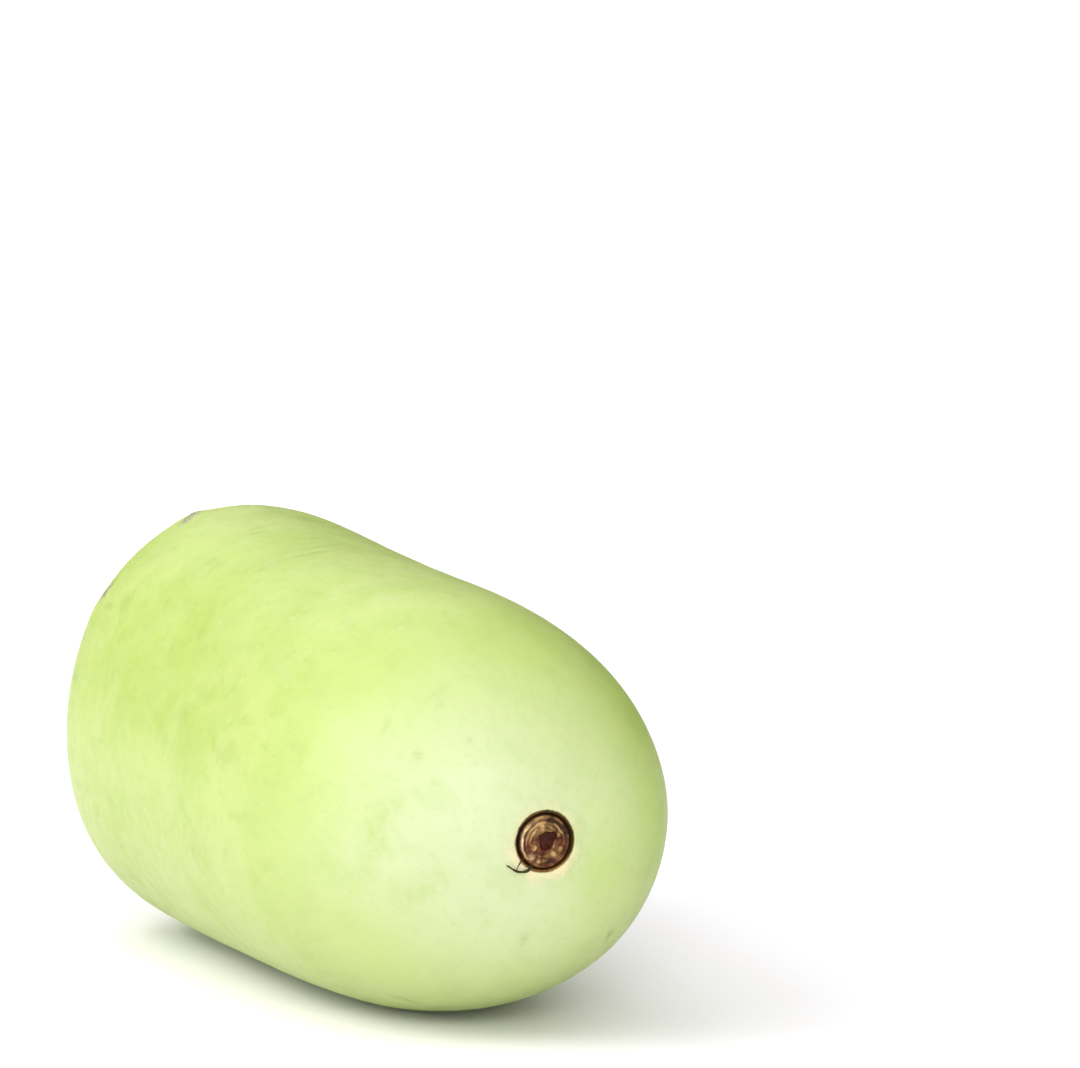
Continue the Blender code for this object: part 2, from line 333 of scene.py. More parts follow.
# Soft boxes round the fruit: name, place to the right, above and towards the camera, size and power
LIGHTS = (
    ("front", (0.20, 0.20, 1.25), 0.70, 14.3),
    ("left", (-1.05, 0.50, 0.22), 0.70, 8.8),
    ("upper", (-0.90, 1.00, 0.05), 0.60, 3.4),
    ("key", (-0.62, 0.80, 0.60), 0.40, 0.9),
    ("back", (-0.40, 0.90, -0.70), 0.70, 1.5),
)
SKY_LIGHT = 1.22            # the white room's strength as a light, straight above
SKY_FROM = 0.2              # the height of a direction from which the room gives light
SKY_FULL = 0.9
ROOM_SEEN = 1.05            # its strength to the camera
FAR_FLOOR_LIGHT = 1.40
FAR_FLOOR = (0.35, 1.4)      # distances between which the floor turns into plain light
FLOOR_HALF_WIDTH = 12.0
FLOOR_WHITE = (0.92, 0.90, 0.93)


def middle_radius(x):
    """The mean radius before the ends are rounded."""
    along = x / LENGTH - 0.5
    difference = BLOSSOM_WIDTH - STEM_WIDTH
    bulge = 2 * (STEM_WIDTH + BLOSSOM_WIDTH) - 4
    return MIDDLE_RADIUS * (1 + difference * along + bulge * along**2)


def mean_radius(x):
    """The mean radius at x from the stalk pole, with both ends rounded."""
    to_stem = np.clip((STEM_CAP - x) / STEM_CAP, 0, 1)
    to_blossom = np.clip((x - LENGTH + BLOSSOM_CAP) / BLOSSOM_CAP, 0, 1)
    stem = (1 - to_stem**STEM_EASE)**(1 / STEM_BLUNTNESS)
    blossom = (1 - to_blossom**BLOSSOM_EASE)**(1 / BLOSSOM_BLUNTNESS)
    return middle_radius(x) * stem * blossom


def swelling(x, angle):
    """The radius in one direction, as a share of the mean radius."""
    share = x / LENGTH
    total = np.ones(np.broadcast(x, angle).shape)
    for count, at_stem, at_blossom, crest in SWELLINGS:
        height = at_stem * (1 - share) + at_blossom * share
        total = total + height * np.cos(count * (angle - crest))
    return total


def axis_point(x):
    """The middle of the section at x."""
    bow = (2 * x / LENGTH - 1)**2
    return np.stack([x - LENGTH / 2, BOW_SIDEWAYS * bow, BOW_UPWARDS * bow], -1)


def smooth_skin(x, angle, scale=1.0):
    """Points of the fruit's smooth form."""
    x, angle = np.broadcast_arrays(np.asarray(x, float), np.asarray(angle, float))
    radius = scale * mean_radius(x) * swelling(x, angle)
    points = axis_point(x)
    points[..., 1] += radius * np.cos(angle)
    points[..., 2] += radius * np.sin(angle)
    return points


def recess_rim():
    """Where the skin is as wide as the scar's recess."""
    share = RECESS_RADIUS / middle_radius(LENGTH)
    return LENGTH - BLOSSOM_CAP + BLOSSOM_CAP * (1 - share**BLOSSOM_BLUNTNESS)**(1 / BLOSSOM_EASE)


def lean(points):
    """Turns points of the fruit's frame so that the blossom end drops."""
    c, s = math.cos(LEAN), math.sin(LEAN)
    x, y, z = points[..., 0], points[..., 1], points[..., 2]
    return np.stack([x * c + z * s, y, -x * s + z * c], -1)


def turns(count):
    """Equal steps once round a circle."""
    return 2 * math.pi * np.arange(count) / count


def find_origin():
    """Where the middle of the fruit's axis lies, so that the smooth form fills the solid's box."""
    x = np.linspace(SEAT_DEPTH, recess_rim(), 600)[:, None]
    form = lean(smooth_skin(x, turns(SKIN_AROUND)[None, :])).reshape(-1, 3)
    low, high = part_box("gourd")
    middle = (form.min(0) + form.max(0)) / 2
    x_shift = (low.x + high.x) / 2 - middle[0]
    y_shift = (low.y + high.y) / 2 - middle[1]
    return np.array([x_shift, y_shift, high.z - form[:, 2].max()])


ORIGIN = find_origin()


def to_frame(points):
    """Points of the fruit's own frame, in the frame that the object stands in."""
    return lean(points) + ORIGIN


def on_blossom_end(points):
    """From the scar's own frame, whose z leaves the fruit at the scar, to the fruit's frame."""
    seat = axis_point(np.array(recess_rim())) - np.array([RECESS_DEPTH, 0, 0])
    return np.stack([points[..., 2], points[..., 0], points[..., 1]], -1) + seat


def on_stem_end(points):
    """From the stub's own frame, whose z leaves the fruit at the stalk, to the fruit's frame."""
    seat = axis_point(np.array(SEAT_DEPTH))
    return np.stack([-points[..., 2], -points[..., 0], points[..., 1]], -1) + seat


def field(points, size, seed):
    """Smooth noise of about -1 to 1 over points, with features of one size."""
    flat = points.reshape(-1, 3) / size + seed * 17.3
    values = [noise.noise(Vector(p)) for p in flat]
    return np.array(values).reshape(points.shape[:-1])


def smooth_step(value):
    """Rises smoothly from 0 to 1."""
    value = np.clip(value, 0, 1)
    return value * value * (3 - 2 * value)


def bell(value):
    """1 at 0, falling off smoothly on both sides."""
    return np.exp(-value**2)


def arc(angle, middle, spread):
    """1 in the middle of an arc, in degrees, falling off beyond its spread."""
    away = (np.degrees(angle) - middle + 180) % 360 - 180
    return np.exp(-(away / spread)**4)


def normals_of(rings):
    """Outward directions of a closed skin over rings of points."""
    along = np.gradient(rings, axis=0)
    around = np.roll(rings, -1, axis=1) - np.roll(rings, 1, axis=1)
    out = np.cross(around, along)
    return out / np.maximum(np.linalg.norm(out, axis=-1, keepdims=True), 1e-12)


def add_object(name, data):
    """A new object in the scene."""
    made = bpy.data.objects.new(name, data)
    bpy.context.scene.collection.objects.link(made)
    return made


def closed_mesh(name, rings, material, node, tones):
    """An object over rings of points with closed ends, its tones kept as point attributes."""
    count, around = rings.shape[:2]
    points = np.concatenate([rings.reshape(-1, 3), rings[:1].mean(1), rings[-1:].mean(1)])
    i, j = np.meshgrid(np.arange(count - 1), np.arange(around), indexing="ij")
    k = (j + 1) % around
    quads = np.stack([i * around + j, i * around + k, (i + 1) * around + k, (i + 1) * around + j], -1)
    j = np.arange(around)
    k = (j + 1) % around
    first = np.stack([np.full(around, count * around), k, j], -1)
    base = (count - 1) * around
    last = np.stack([np.full(around, count * around + 1), base + j, base + k], -1)
    faces = quads.reshape(-1, 4).tolist() + first.tolist() + last.tolist()
    mesh = bpy.data.meshes.new(name)
    mesh.from_pydata(points.tolist(), [], faces)
    mesh.shade_smooth()
    for label, values in tones.items():
        flat = np.concatenate([values.reshape(-1), values[:1].mean(1), values[-1:].mean(1)])
        attribute = mesh.attributes.new(label, "FLOAT", "POINT")
        attribute.data.foreach_set("value", flat.astype(np.float32))
    mesh.materials.append(material)
    made = add_object(name, mesh)
    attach(made, BODY)
    if node:
        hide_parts(node)
    return made


class Shade:
    """A material being built, with short calls that add nodes."""

    def __init__(self, name):
        self.material = bpy.data.materials.new(name)
        self.material.use_nodes = True
        self.tree = self.material.node_tree
        self.shader = self.tree.nodes["Principled BSDF"]
        self.place = self.node("ShaderNodeTexCoord").outputs["Object"]

    def node(self, kind, **settings):
        made = self.tree.nodes.new(kind)
        for key, value in settings.items():
            setattr(made, key, value)
        return made

    def feed(self, socket, value):
        """Links an output to a socket, or sets the socket to a plain value."""
        if isinstance(value, bpy.types.NodeSocket):
            self.tree.links.new(value, socket)
        elif socket.type == "RGBA":
            socket.default_value = (*value, 1)
        else:
            socket.default_value = value

    def set(self, **values):
        """Feeds the shader's own sockets, named with _ for a space."""
        for key, value in values.items():
            self.feed(self.shader.inputs[key.replace("_", " ")], value)

    def tone(self, label):
        """A tone kept on the mesh."""
        return self.node("ShaderNodeAttribute", attribute_name=label).outputs["Fac"]

    def math(self, operation, a, b=0.0, clamp=False):
        made = self.node("ShaderNodeMath", operation=operation, use_clamp=clamp)
        self.feed(made.inputs[0], a)
        self.feed(made.inputs[1], b)
        return made.outputs[0]

    def times(self, a, b):
        return self.math("MULTIPLY", a, b)

    def vector(self, operation, a, b):
        made = self.node("ShaderNodeVectorMath", operation=operation)
        self.feed(made.inputs[0], a)
        self.feed(made.inputs[1], b)
        return made.outputs["Value"] if operation == "DISTANCE" else made.outputs["Vector"]

    def grain(self, scale, detail=3.0, roughness=0.5, where=None, stretch=None, distortion=0.0):
        """Noise from 0 to 1, with scale features to the metre."""
        where = where or self.place
        if stretch:
            where = self.vector("MULTIPLY", where, stretch)
        made = self.node("ShaderNodeTexNoise")
        self.feed(made.inputs["Vector"], where)
        self.feed(made.inputs["Scale"], scale)
        self.feed(made.inputs["Detail"], detail)
        self.feed(made.inputs["Roughness"], roughness)
        self.feed(made.inputs["Distortion"], distortion)
        return made.outputs["Fac"]

    def step(self, value, low, high, to_low=0.0, to_high=1.0):
        """A smooth step of a value between two limits."""
        made = self.node("ShaderNodeMapRange", interpolation_type="SMOOTHSTEP")
        sockets = ("Value", "From Min", "From Max", "To Min", "To Max")
        for socket, number in zip(sockets, (value, low, high, to_low, to_high)):
            self.feed(made.inputs[socket], number)
        return made.outputs[0]

    def mix(self, factor, a, b):
        """One colour over another."""
        made = self.node("ShaderNodeMix", data_type="RGBA")
        self.feed(made.inputs[0], factor)
        self.feed(made.inputs[6], a)
        self.feed(made.inputs[7], b)
        return made.outputs[2]

    def bump(self, height, distance, strength=1.0, after=None):
        made = self.node("ShaderNodeBump")
        self.feed(made.inputs["Height"], height)
        self.feed(made.inputs["Distance"], distance)
        self.feed(made.inputs["Strength"], strength)
        if after:
            self.feed(made.inputs["Normal"], after)
        return made.outputs["Normal"]


# Colours of the skin
SKIN_MID = (0.362, 0.457, 0.120)
SKIN_LIGHT = (0.408, 0.490, 0.158)
SKIN_DEEP = (0.294, 0.396, 0.077)
# Greener colour of patches that are partly the skin's tone and partly painted shade
SKIN_GREENER_SHADED = (0.298, 0.420, 0.058)
# Painted light: the lighter skin that stands in for missing light on the underside
SKIN_PAINTED_LIGHT = (0.425, 0.512, 0.188)
SKIN_FLECK = (0.228, 0.324, 0.056)
SKIN_PALE = (0.470, 0.516, 0.328)
SKIN_BLUISH = (0.420, 0.488, 0.240)
BRUISE = (0.276, 0.384, 0.066)
SKIN_DIM = (0.340, 0.430, 0.178)
MARK = (0.150, 0.185, 0.045)
SCAB = (0.235, 0.238, 0.130)
SCAB_EDGE = (0.345, 0.335, 0.185)
HALO = (0.600, 0.530, 0.320)
GROOVE = (0.024, 0.0100, 0.0006)
GROOVE_LIGHT = (0.058, 0.031, 0.005)
TORN_RIM = (0.200, 0.095, 0.022)
FROST = (0.559, 0.590, 0.434)
# Distances at which colours set in and are full
BLUISH_REACH = (0.066, 0.018)
PALE_REACH = (0.047, 0.010)
FRECKLE_REACH = (0.075, 0.030)
HALO_REACH = (0.0100, 0.0075)
RIM_REACH = (0.00694, 0.00656)
FROST_REACH = (0.0265, 0.0165)
SKIN_GLOW = (1.0, 0.9, 0.35)        # red, green and blue light under the skin
STALK_GLOW = (0.8, 1.0, 0.3)


def skin_material():
    """Waxy pale green skin with mottling, flecks, bruises, a pale end and the corky halo."""
    s = Shade("gourd_skin")
    along = s.tone("along")
    scar = tuple(to_frame(axis_point(np.array(recess_rim()))))
    stalk = tuple(to_frame(axis_point(np.array(SEAT_DEPTH))))
    from_scar = s.vector("DISTANCE", s.place, scar)
    from_stalk = s.vector("DISTANCE", s.place, stalk)

    clouds = s.grain(30, 3, 0.55, distortion=0.6)
    patches = s.grain(95, 4, 0.6, stretch=(0.7, 1, 1), distortion=0.4)
    blotches = s.grain(200, 4, 0.6, stretch=(0.65, 1, 1), distortion=0.5)
    specks = s.grain(520, 2, 0.5, stretch=(0.6, 1, 1), distortion=0.3)
    streaks = s.grain(150, 3, 0.6, stretch=(0.14, 1, 1), distortion=0.5)

    colour = s.mix(s.step(clouds, 0.32, 0.70), SKIN_MID, SKIN_LIGHT)
    mottling = (
        (patches, 0.46, 0.74, 0.32, SKIN_DEEP),
        (streaks, 0.50, 0.80, 0.25, SKIN_DEEP),
        (blotches, 0.52, 0.72, 0.29, SKIN_FLECK),
        (blotches, 0.46, 0.28, 0.45, SKIN_LIGHT),
        (specks, 0.60, 0.78, 0.20, SKIN_FLECK),
        (specks, 0.38, 0.22, 0.30, SKIN_PALE),
    )
    for grain, low, high, strength, tint in mottling:
        colour = s.mix(s.times(s.step(grain, low, high), strength), colour, tint)

    wander = s.times(s.math("SUBTRACT", clouds, 0.5), 0.024)
    pale_middle = tuple(to_frame(smooth_skin(PALE_MIDDLE[0] * LENGTH, math.radians(PALE_MIDDLE[1]))))
    reach = s.math("ADD", s.vector("DISTANCE", s.place, pale_middle), wander)
    colour = s.mix(s.step(reach, *BLUISH_REACH, 0.0, 0.66), colour, SKIN_BLUISH)
    colour = s.mix(s.step(reach, *PALE_REACH, 0.0, 0.72), colour, SKIN_PALE)
    smudges = s.grain(150, 4, 0.6, stretch=(0.8, 1, 1), distortion=0.6)
    colour = s.mix(s.times(s.step(smudges, 0.50, 0.70), 0.28), colour, SKIN_DIM)
    freckles = s.times(s.step(specks, 0.52, 0.72), s.step(reach, *FRECKLE_REACH, 0.0, 0.24))
    colour = s.mix(freckles, colour, SKIN_DIM)
    colour = s.mix(s.step(along, 0.16, 0.02, 0.0, 0.30), colour, SKIN_DEEP)
    # Partly painted shade: greener, darker patches, mostly on the upper and right side of the blossom end
    colour = s.mix(s.tone("greener_and_shaded"), colour, SKIN_GREENER_SHADED)
    # Painted light: lighter skin on the underside's left
    colour = s.mix(s.tone("painted_light"), colour, SKIN_PAINTED_LIGHT)

    bruise = s.times(s.tone("bruise"), s.step(s.grain(420, 3, 0.6), 0.36, 0.62, 0.45, 1.0))
    colour = s.mix(bruise, colour, BRUISE)
    marks = s.times(s.tone("mark"), s.step(s.grain(900, 2), 0.30, 0.60, 0.45, 1.0))
    colour = s.mix(s.math("MULTIPLY", marks, 0.8, clamp=True), colour, MARK)

    torn = s.times(s.tone("scab"), s.step(s.grain(1100, 3, 0.6), 0.30, 0.70, 0.55, 1.45))
    colour = s.mix(s.step(torn, 0.12, 0.40, 0.0, 0.70), colour, SCAB_EDGE)
    colour = s.mix(s.step(torn, 0.34, 0.66, 0.0, 0.92), colour, SCAB)

    ragged = s.times(s.math("SUBTRACT", s.grain(520, 4, 0.65), 0.5), 0.0050)
    edge = s.math("ADD", from_scar, ragged)
    patchy = s.times(s.tone("halo"), s.step(s.grain(330, 3, 0.65), 0.36, 0.60, 0.10, 1.0))
    colour = s.mix(s.times(s.step(edge, *HALO_REACH), patchy), colour, HALO)
    rim = s.math("ADD", from_scar, s.times(ragged, 0.12))
    torn_rim = s.mix(s.times(patchy, 0.9), GROOVE, TORN_RIM)
    colour = s.mix(s.step(rim, *RIM_REACH), colour, torn_rim)

    outwards = s.vector("NORMALIZE", s.vector("SUBTRACT", s.place, stalk), (0, 0, 0))
    rays = s.grain(26, 2, 0.6, where=outwards)
    frost = s.times(s.step(from_stalk, *FROST_REACH), s.step(rays, 0.36, 0.60))
    colour = s.mix(s.times(frost, 0.55), colour, FROST)

    ends = s.times(s.tone("rib_end"), s.step(s.grain(500, 3), 0.3, 0.6, 0.4, 1.0))
    colour = s.mix(s.times(ends, 0.8), colour, STALK_DARK)

    pores = s.grain(1500, 2, 0.5)
    peel = s.grain(420, 3, 0.55)
    normal = s.bump(pores, 0.00004, 0.5)
    normal = s.bump(peel, 0.00010, 0.45, normal)
    normal = s.bump(s.times(marks, -1.0), 0.00015, 0.8, normal)
    corky = s.times(s.grain(1500, 4, 0.7), s.step(edge, *HALO_REACH))
    normal = s.bump(corky, 0.00035, 0.8, normal)

    roughness = s.step(s.grain(260, 3), 0.3, 0.7, 0.41, 0.52)
    dry = s.math("ADD", s.step(edge, *HALO_REACH, 0.0, 0.30), s.step(rim, *RIM_REACH, 0.0, 0.35))
    s.set(Base_Color=colour, Roughness=s.math("ADD", roughness, dry), Normal=normal, Metallic=0.0)
    s.set(IOR=1.45, Specular_IOR_Level=0.31, Subsurface_Weight=0.35, Subsurface_Scale=0.004)
    s.shader.inputs["Subsurface Radius"].default_value = SKIN_GLOW
    s.set(Coat_Weight=0.03, Coat_Roughness=0.30)
    return s.material


def groove_material():
    """The groove round the scar: dark brown, dry and dull."""
    s = Shade("scar_groove")
    s.set(Base_Color=s.mix(s.grain(900, 3, 0.6), GROOVE, GROOVE_LIGHT))
    s.set(Roughness=0.9, Normal=s.bump(s.grain(1800, 3), 0.0002, 0.8), Metallic=0.0, Specular_IOR_Level=0.04)
    return s.material


CORK_DARK = (0.022, 0.0085, 0.0030)
CORK_MID = (0.146, 0.076, 0.022)
CORK_LIGHT = (0.395, 0.250, 0.104)
# Colour of the painted highlight on the scar
CORK_PAINTED_HIGHLIGHT = (0.780, 0.585, 0.345)
CORK_RED = (0.120, 0.026, 0.012)
CORK_PIT = (0.032, 0.004, 0.0002)
STRAND_DARK = (0.010, 0.0080, 0.0020)
STRAND_LIGHT = (0.048, 0.042, 0.012)


def cork_material():
    """The dried blossom scar: glossy brown ridges, dark grooves and a reddish pit."""
    s = Shade("scar_cork")
    crest = s.tone("crest")
    fibres = s.grain(1900, 4, 0.65, distortion=0.6)
    patches = s.grain(600, 3, 0.6)
    colour = s.mix(s.step(crest, 0.08, 0.42), CORK_DARK, CORK_MID)
    colour = s.mix(s.times(s.tone("red"), 0.58), colour, CORK_RED)
    light = s.times(s.step(crest, 0.40, 0.95), s.step(patches, 0.34, 0.60, 0.25, 1.0))
    colour = s.mix(light, colour, CORK_LIGHT)
    # Painted highlight: the pale tone on the scar's first ridge and first knob
    colour = s.mix(s.times(s.tone("pale"), s.step(patches, 0.30, 0.55, 0.4, 1.0)), colour, CORK_PAINTED_HIGHLIGHT)
    colour = s.mix(s.times(s.step(fibres, 0.52, 0.72), 0.60), colour, CORK_DARK)
    colour = s.mix(s.times(s.tone("pit"), 0.85), colour, CORK_PIT)
    normal = s.bump(fibres, 0.00022, 0.8)
    roughness = s.step(fibres, 0.3, 0.7, 0.36, 0.62)
    s.set(Base_Color=colour, Roughness=roughness, Normal=normal, Metallic=0.0)
    s.set(Specular_IOR_Level=0.13, Coat_Weight=0.02, Coat_Roughness=0.2)
    return s.material


def strand_material():
    """The dried strands: nearly black, with an olive cast."""
    s = Shade("dried_strand")
    fibres = s.grain(2600, 3, 0.6)
    s.set(Base_Color=s.mix(fibres, STRAND_DARK, STRAND_LIGHT))
    s.set(Roughness=0.65, Normal=s.bump(fibres, 0.0001, 0.6), Metallic=0.0, Specular_IOR_Level=0.12)
    return s.material


STALK_GREEN = (0.215, 0.330, 0.040)
STALK_LIGHT = (0.309, 0.403, 0.105)
STALK_DARK = (0.081, 0.155, 0.021)
STALK_PALE = (0.412, 0.461, 0.231)
CUT_OLIVE = (0.187, 0.184, 0.035)
CUT_TAN = (0.240, 0.172, 0.050)
CUT_GREEN = (0.160, 0.180, 0.042)
CUT_BROWN = (0.120, 0.066, 0.022)
CUT_RIM = (0.050, 0.019, 0.007)
CUT_PALE = (0.430, 0.390, 0.180)
HAIR_GREENISH = (0.86, 0.93, 0.68)
HAIR_WHITE = (0.97, 0.99, 0.88)


def stalk_material():
    """The stalk: green ribs, pale furrows and a blotched brown cut face."""
    s = Shade("stalk")
    grainy = s.grain(700, 4, 0.65)
    broad = s.grain(260, 4, 0.65, distortion=0.7)
    fine = s.grain(1500, 3, 0.6)
    lines = s.grain(900, 3, 0.6, stretch=(0.10, 1, 1))
    side = s.mix(s.step(lines, 0.35, 0.65), STALK_GREEN, STALK_LIGHT)
    side = s.mix(s.times(s.step(grainy, 0.50, 0.70), 0.45), side, STALK_DARK)
    side = s.mix(s.times(s.tone("furrow"), s.step(grainy, 0.30, 0.60, 0.5, 1.0)), side, STALK_PALE)
    side = s.mix(s.times(s.tone("bump"), 0.85), side, STALK_DARK)

    cut = s.mix(s.step(broad, 0.38, 0.60), CUT_OLIVE, CUT_TAN)
    cut = s.mix(s.times(s.tone("pith"), s.step(broad, 0.62, 0.40)), cut, CUT_GREEN)
    cut = s.mix(s.times(s.step(grainy, 0.52, 0.70), 0.55), cut, CUT_BROWN)
    cut = s.mix(s.times(s.step(fine, 0.56, 0.74), 0.60), cut, CUT_RIM)
    cut = s.mix(s.times(s.step(grainy, 0.42, 0.28), 0.75), cut, CUT_PALE)
    cut = s.mix(s.times(s.tone("facet"), s.step(broad, 0.30, 0.60, 0.35, 0.95)), cut, CUT_BROWN)
    cut = s.mix(s.tone("bundle"), cut, CUT_RIM)
    colour = s.mix(s.tone("cut"), side, cut)
    ragged = s.math("ADD", s.tone("rim"), s.step(broad, 0.30, 0.70, 0.38, -0.42), clamp=True)
    colour = s.mix(s.step(ragged, 0.30, 0.75), colour, CUT_RIM)
    normal = s.bump(fine, 0.00020, 0.8)
    normal = s.bump(lines, 0.0002, 0.5, normal)
    s.set(Base_Color=colour, Roughness=s.step(grainy, 0.3, 0.7, 0.42, 0.66), Normal=normal, Metallic=0.0)
    s.set(Specular_IOR_Level=0.32, Subsurface_Weight=0.12, Subsurface_Scale=0.002)
    s.shader.inputs["Subsurface Radius"].default_value = STALK_GLOW
    return s.material


def hair_material():
    """Whitish, slightly green hairs."""
    s = Shade("stalk_hair")
    s.set(Base_Color=s.mix(s.grain(300, 2), HAIR_GREENISH, HAIR_WHITE))
    s.set(Roughness=0.50, Metallic=0.0, Specular_IOR_Level=0.5)
    return s.material


def skin_stations():
    """Places of the skin's rings, equally spaced along the skin from near the stalk to the scar."""
    fine = np.concatenate([
        STEM_CAP * (1 - np.cos(np.linspace(0.10, math.pi / 2, 1500, endpoint=False))),
        np.linspace(STEM_CAP, LENGTH - BLOSSOM_CAP, 500, endpoint=False),
        LENGTH - BLOSSOM_CAP + BLOSSOM_CAP * np.sin(np.linspace(0, math.pi / 2, 4000, endpoint=False)),
    ])
    fine = fine[fine < recess_rim()]
    fine = np.append(fine, recess_rim())
    steps = np.hypot(np.diff(fine), np.diff(mean_radius(fine)))
    travelled = np.concatenate([[0], np.cumsum(steps)])
    count = int(travelled[-1] / SKIN_STEP)
    return np.interp(np.linspace(0, travelled[-1], count + 1), travelled, fine)


def spot(points, share, degrees, half_length, half_width, turn=0.0):
    """A soft oval spot on the skin, 1 at its middle, with its sizes in mm."""
    x, angle = share * LENGTH, math.radians(degrees)
    half_length, half_width = half_length * MM, half_width * MM
    centre = smooth_skin(x, angle)
    small = 1e-4
    ahead = smooth_skin(x + small, angle) - smooth_skin(x - small, angle)
    ahead /= np.linalg.norm(ahead)
    round_it = smooth_skin(x, angle + small) - smooth_skin(x, angle - small)
    round_it /= np.linalg.norm(round_it)
    offset = points - centre
    c, s = math.cos(math.radians(turn)), math.sin(math.radians(turn))
    length = offset @ (c * ahead + s * round_it) / half_length
    width = offset @ (c * round_it - s * ahead) / half_width
    near = np.linalg.norm(offset, axis=-1) < 4 * max(half_length, half_width)
    return bell(np.hypot(length, width)) * near


def strongest_spot(points, table):
    """How strong a table's round spots are at points of the smooth form."""
    strongest = np.zeros(points.shape[:2])
    for share, degrees, radius, strength in table:
        strongest = np.maximum(strongest, strength * spot(points, share, degrees, radius, radius))
    return strongest


def make_skin(material, groove):
    """The whole skin, with its lumps, dents and marks, the scar's recess and the flat rest spot."""
    x = skin_stations()[:, None]
    angle = turns(SKIN_AROUND)[None, :]
    smooth = smooth_skin(x, angle)
    out = normals_of(smooth)
    from_scar = np.linalg.norm(smooth - axis_point(np.array(recess_rim())), axis=-1)
    from_stalk = np.linalg.norm(smooth - axis_point(np.array(SEAT_DEPTH)), axis=-1)

    relief = np.zeros(smooth.shape[:2])
    for seed, (size, height) in enumerate(LUMPS):
        relief += height * field(smooth, size, seed + 1)
    relief *= smooth_step((from_scar - SMOOTH_TO) / SMOOTH_FADE)
    for share, degrees, radius, height in DENTS:
        relief += height * MM * spot(smooth, share, degrees, radius, radius)
    mark = np.zeros(relief.shape)
    for share, degrees, half_length, half_width, turn, depth, dark in MARKS:
        shape = spot(smooth, share, degrees, half_length, max(half_width, NARROWEST_DENT), turn)
        relief -= depth * MM * shape
        mark = np.maximum(mark, dark * shape)
    scab = np.zeros(relief.shape)
    for share, degrees, half_length, half_width, turn, height in SCABS:
        shape = spot(smooth, share, degrees, half_length, half_width, turn)
        relief += height * MM * shape
        scab = np.maximum(scab, shape)
    relief += LIP_HEIGHT * bell((from_scar - LIP_RADIUS) / LIP_WIDTH)
    ribs = 0.5 - 0.5 * np.cos(STUB_RIBS * angle)
    furrows = (2 * ribs - 1) * bell((from_stalk - FURROW_AT) / FURROW_WIDTH)
    relief += FURROW_HEIGHT * furrows * smooth_step((from_stalk - FURROW_FROM) / FURROW_RISE)
    rib_end = ribs**4 * bell((from_stalk - FURROW_AT) / RIB_END_WIDTH)
    halo = 0.30 + 0.60 * np.max([arc(angle, *sides) for sides in HALO_ARCS], axis=0)
    rings = smooth + relief[..., None] * out

    rings = np.concatenate([rings, recess_rings(rings[-1])])
    rings = to_frame(rings)
    rings[..., 2] = (rings[..., 2] + np.sqrt(rings[..., 2]**2 + REST_SOFTNESS**2)) / 2
    added = len(rings) - len(smooth)
    tones = {
        "along": np.broadcast_to(x / LENGTH, relief.shape),
        "mark": np.clip(mark, 0, 1),
        "scab": scab,
        "bruise": strongest_spot(smooth, BRUISES),
        # greener patches, partly painted shade
        "greener_and_shaded": strongest_spot(smooth, GREENER_AND_SHADED),
        # painted light on the underside's left
        "painted_light": strongest_spot(smooth, PAINTED_LIGHT_SPOTS),
        "rib_end": rib_end,
        "halo": np.broadcast_to(halo, relief.shape),
    }
    tones = {label: np.concatenate([tone, np.repeat(tone[-1:], added, 0)]) for label, tone in tones.items()}
    tones["mark"][-added:] = 0
    skin = closed_mesh("gourd_skin", rings, material, "gourd", tones)
    skin.data.materials.append(groove)
    first = (len(rings) - added) * SKIN_AROUND
    for face in skin.data.polygons:
        if min(face.vertices) >= first:
            face.material_index = 1
    return skin


def recess_rings(rim):
    """The groove's wall and floor, from the skin's last ring inwards."""
    centre = rim.mean(0)
    rings = []
    for depth, scale in RECESS_STEPS:
        ring = centre + (rim - centre) * scale
        ring[:, 0] -= depth
        rings.append(ring)
    return np.array(rings)


def polar(radii, angle, height):
    """Rings of points over a disc."""
    radii, angle = np.broadcast_arrays(radii, angle)
    return np.stack([radii * np.cos(angle), radii * np.sin(angle), height], -1)


